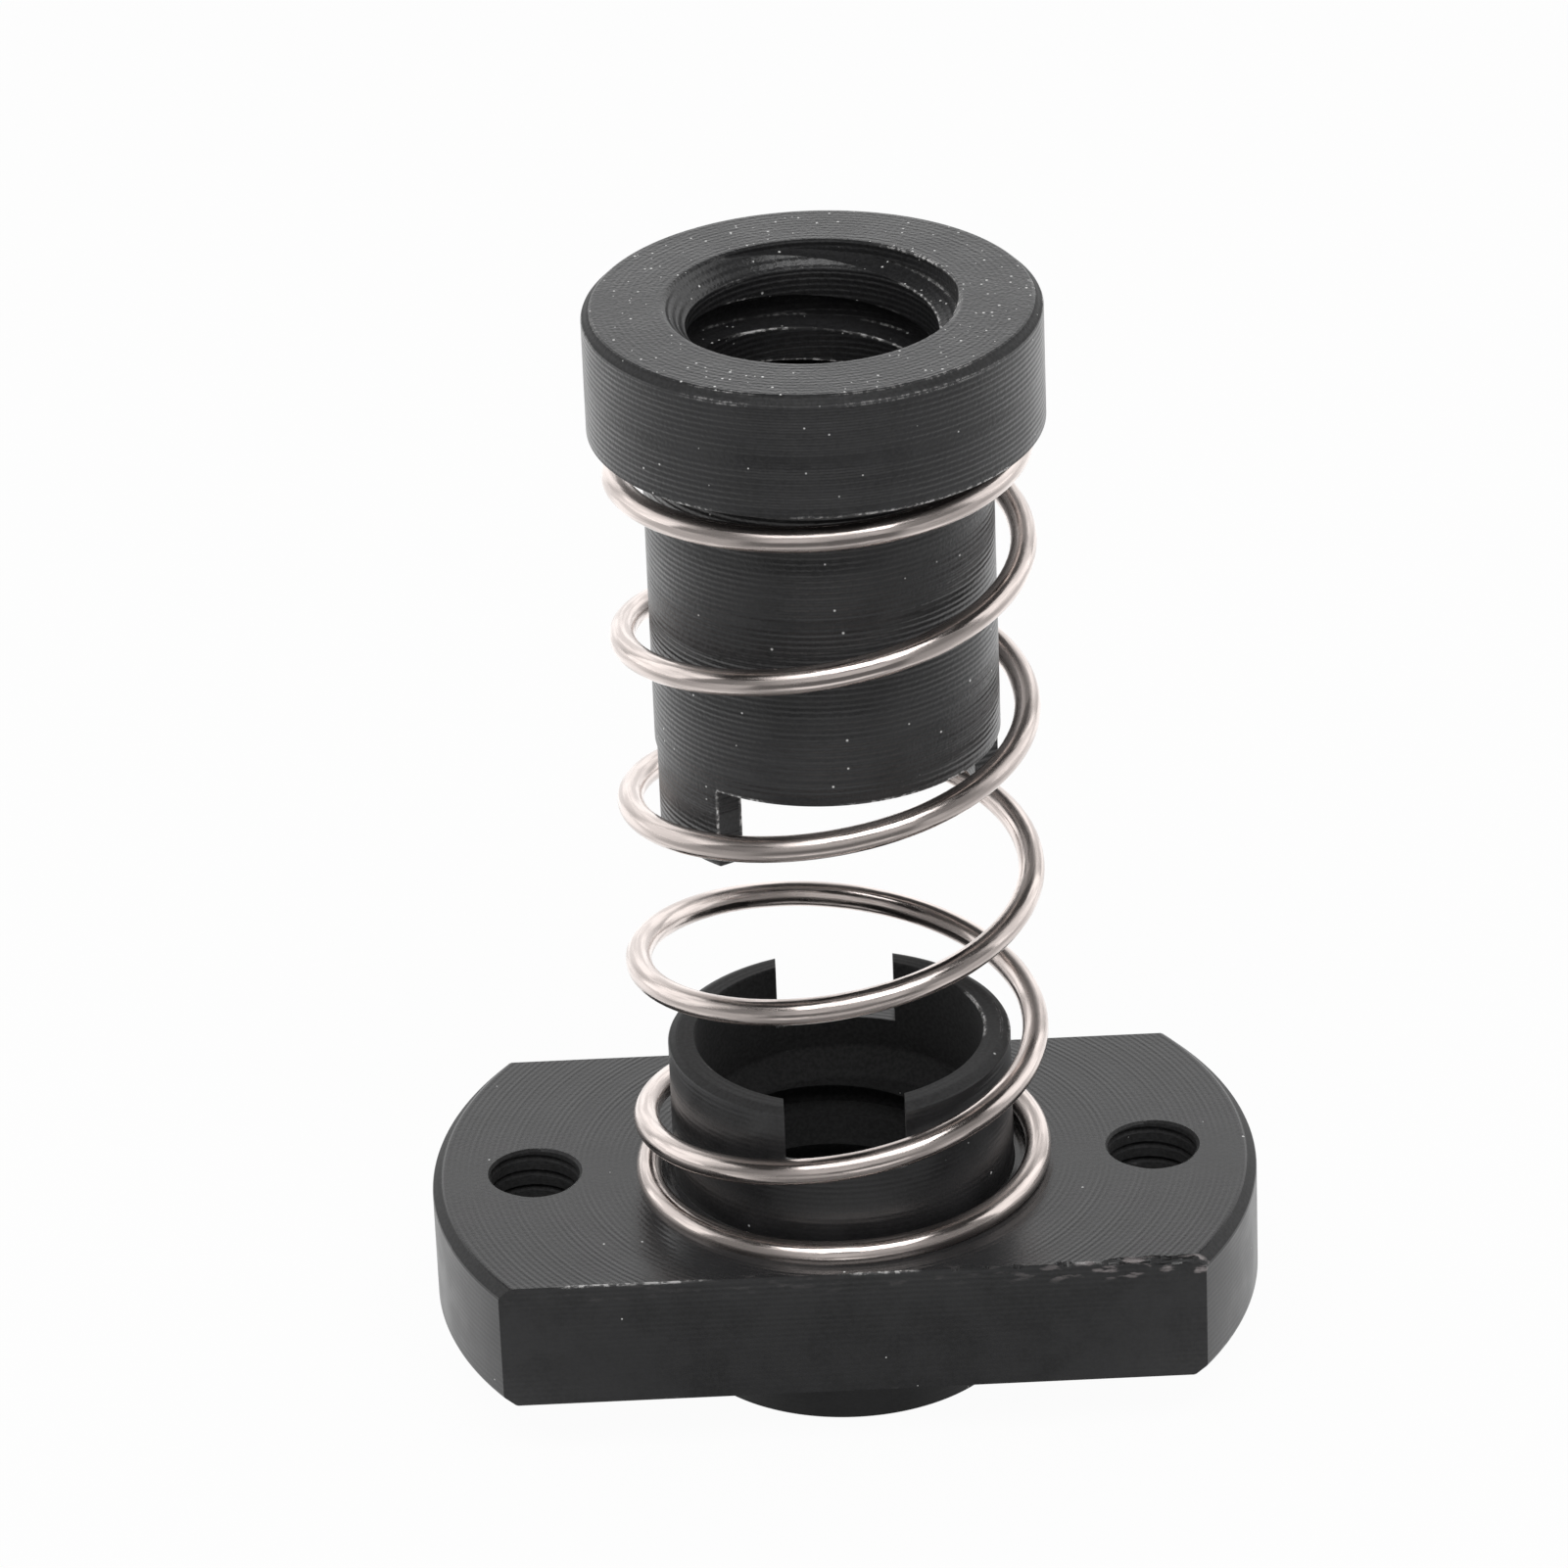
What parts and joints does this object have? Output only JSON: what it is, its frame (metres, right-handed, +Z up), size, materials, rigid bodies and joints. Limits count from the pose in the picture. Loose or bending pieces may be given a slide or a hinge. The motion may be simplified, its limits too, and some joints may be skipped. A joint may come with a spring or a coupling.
{
  "type": "lead screw nut",
  "caption": "Sprung two-part lead screw nut: an oval flanged nut with a slotted socket, a coil spring on it and a collared sliding nut whose tongues fit the slots.",
  "frame": {"origin": "on the screw axis, in the pilot boss's end face, the lowest face of the nut", "axes": "+Z up along the screw axis from the pilot boss to the collar, +X through the two tapped holes, +Y across the flange's milled flats"},
  "size_m": [0.024, 0.013, 0.0332],
  "materials": {
    "flange_nut": "turned",
    "spring": "polished",
    "sliding_nut": "turned"
  },
  "bodies": {
    "flange_nut": {"flange_nut": "flange_nut"},
    "spring": {"spring": "spring"},
    "sliding_nut": {"sliding_nut": "sliding_nut"}
  },
  "joints": [
    {"name": "nut_turn", "type": "hinge", "parent": "flange_nut", "child": "spring", "pos_m": [0, 0, 0.0058], "axis": [0, 0, 1], "continuous": true},
    {"name": "nut_press", "type": "slide", "parent": "spring", "child": "sliding_nut", "axis": [0, 0, -1], "range_m": [0, 0.00735], "stiffness_N_per_m": 510, "deforming": ["spring"]}
  ]
}
